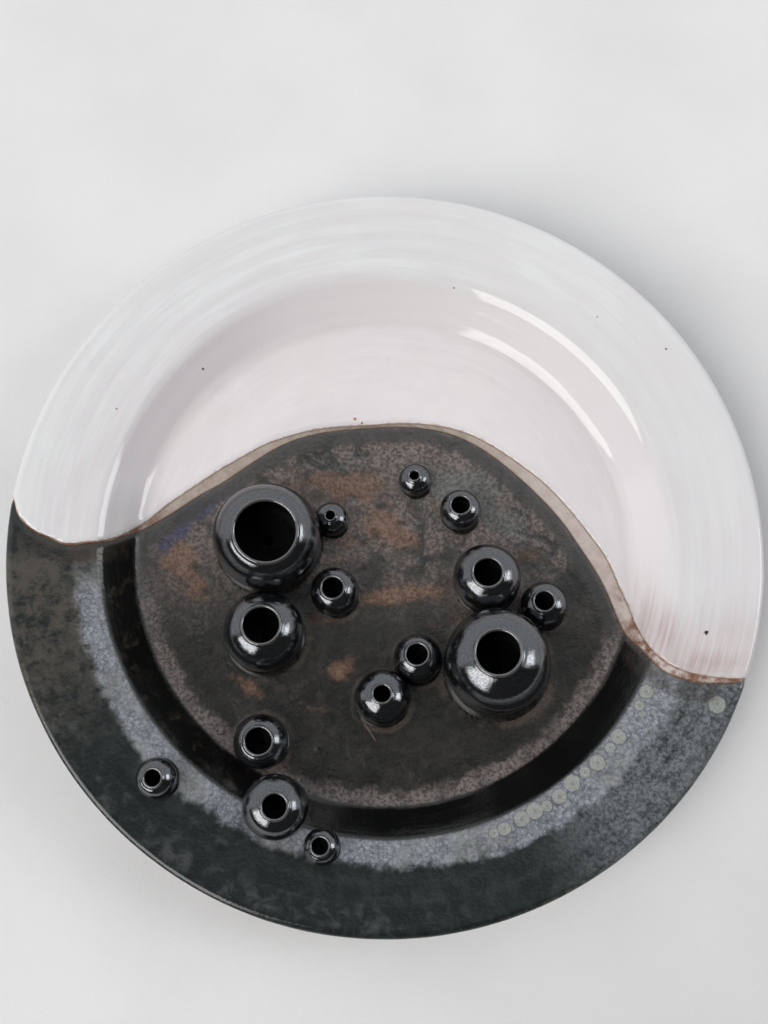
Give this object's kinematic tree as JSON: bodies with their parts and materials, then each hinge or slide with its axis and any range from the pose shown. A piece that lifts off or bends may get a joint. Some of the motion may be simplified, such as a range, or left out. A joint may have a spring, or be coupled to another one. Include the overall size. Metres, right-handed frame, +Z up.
{
  "type": "flower frog",
  "caption": "Round shallow stoneware arranging dish, half black glaze and half white, with hollow ball cups of several sizes standing in it to hold cut stems upright.",
  "frame": {"origin": "centre of the foot circle, in the plane of the table", "axes": "+Z up; +Y towards the white crescent; +X to the right when the white crescent is at the back"},
  "size_m": [0.33, 0.33, 0.0481],
  "materials": {
    "stoneware": "matt bare clay",
    "white_glaze": "glossy",
    "black_glaze": "glossy with a metallic bloom",
    "cup_glaze": "mirror gloss",
    "seam_glaze": "glossy"
  },
  "bodies": {
    "root": {"dish_body": "stoneware", "foot_ring": "stoneware", "white_glaze_coat": "white_glaze", "black_glaze_coat": "black_glaze", "stem_cup_01": "cup_glaze", "stem_cup_02": "cup_glaze", "stem_cup_03": "cup_glaze", "stem_cup_04": "cup_glaze", "stem_cup_05": "cup_glaze", "stem_cup_06": "cup_glaze", "stem_cup_07": "cup_glaze", "stem_cup_08": "cup_glaze", "stem_cup_09": "cup_glaze", "stem_cup_10": "cup_glaze", "stem_cup_11": "cup_glaze", "stem_cup_12": "cup_glaze", "stem_cup_13": "cup_glaze", "stem_cup_14": "cup_glaze", "stem_cup_15": "cup_glaze", "luting_ring_01": "seam_glaze", "luting_ring_02": "seam_glaze", "luting_ring_03": "seam_glaze", "luting_ring_04": "seam_glaze", "luting_ring_05": "seam_glaze", "luting_ring_06": "seam_glaze", "luting_ring_07": "seam_glaze", "luting_ring_08": "seam_glaze", "luting_ring_09": "seam_glaze", "luting_ring_10": "seam_glaze", "luting_ring_11": "seam_glaze", "luting_ring_12": "seam_glaze", "luting_ring_13": "seam_glaze", "luting_ring_14": "seam_glaze", "luting_ring_15": "seam_glaze"}
  },
  "joints": []
}
